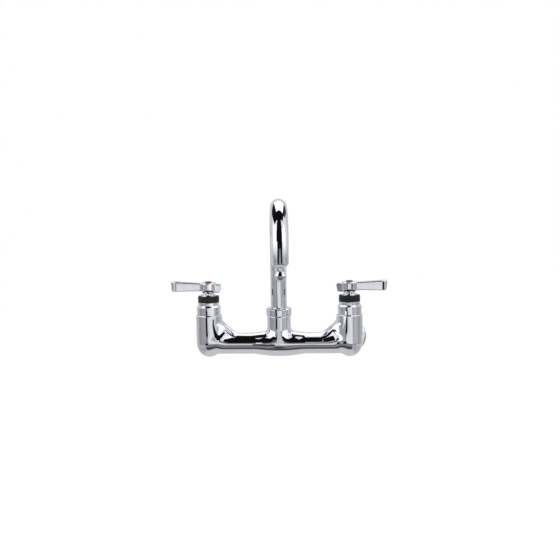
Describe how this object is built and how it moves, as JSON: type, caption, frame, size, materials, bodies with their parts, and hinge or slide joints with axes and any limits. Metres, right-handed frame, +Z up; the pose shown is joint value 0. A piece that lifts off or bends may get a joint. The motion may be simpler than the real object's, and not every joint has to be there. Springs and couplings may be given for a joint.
{
  "type": "wall-mount gooseneck mixing faucet",
  "caption": "Wall-mounted chrome kitchen mixing faucet: cast body on two wall inlets, lever valves with colour buttons, black rings, and a swinging gooseneck spout with aerator.",
  "frame": {"origin": "on the wall plane, midway between the axes of the two wall inlets", "axes": "+X along the wall from the hot to the cold side, +Y into the wall so that the user stands on the -Y side, +Z up"},
  "size_m": [0.3125, 0.1522, 0.2324],
  "materials": {
    "chrome": "polished chrome plate on cast and drawn brass",
    "black_ring": "matte black",
    "brass": "machined brass",
    "rubber": "plain seal rubber",
    "ceramic": "ground and lapped ceramic",
    "steel": "bright stainless steel",
    "nylon": "natural nylon",
    "red_index": "red button, no letter",
    "blue_index": "blue button, no letter"
  },
  "bodies": {
    "fixed_body": {"body": "chrome", "hot_inlet_flange": "chrome", "cold_inlet_flange": "chrome", "hot_inlet_nut": "chrome", "cold_inlet_nut": "chrome", "hot_inlet_washer": "rubber", "cold_inlet_washer": "rubber", "hot_bonnet": "chrome", "cold_bonnet": "chrome", "hot_bonnet_ring": "black_ring", "cold_bonnet_ring": "black_ring", "hot_cartridge": "brass", "cold_cartridge": "brass", "hot_cartridge_oring": "rubber", "cold_cartridge_oring": "rubber", "hot_fixed_disc": "ceramic", "cold_fixed_disc": "ceramic", "hot_seat_seal": "rubber", "cold_seat_seal": "rubber", "hot_glide_washer": "nylon", "cold_glide_washer": "nylon", "swivel_nut": "chrome", "swivel_washer": "nylon"},
    "hot_lever": {"hot_stem": "brass", "hot_moving_disc": "ceramic", "hot_stem_orings": "rubber", "hot_handle": "chrome", "hot_handle_screw": "steel", "hot_index_button": "red_index"},
    "cold_lever": {"cold_stem": "brass", "cold_moving_disc": "ceramic", "cold_stem_orings": "rubber", "cold_handle": "chrome", "cold_handle_screw": "steel", "cold_index_button": "blue_index"},
    "spout": {"spout_tube": "chrome", "spout_base": "brass", "spout_orings": "rubber", "spout_snap_ring": "steel", "outlet_tip": "chrome", "aerator_housing": "chrome", "aerator_insert": "nylon", "aerator_screen": "steel", "aerator_washer": "rubber"}
  },
  "joints": [
    {"name": "hot_valve_turn", "type": "hinge", "parent": "fixed_body", "child": "hot_lever", "pos_m": [-0.1016, -0.052, 0.08], "axis": [0, 0, 1], "range_deg": [0, 90]},
    {"name": "cold_valve_turn", "type": "hinge", "parent": "fixed_body", "child": "cold_lever", "pos_m": [0.1016, -0.052, 0.08], "axis": [0, 0, 1], "range_deg": [-90, 0]},
    {"name": "spout_swivel", "type": "hinge", "parent": "fixed_body", "child": "spout", "pos_m": [0, -0.052, 0.045], "axis": [0, 0, 1], "range_deg": [-114, 105]}
  ]
}
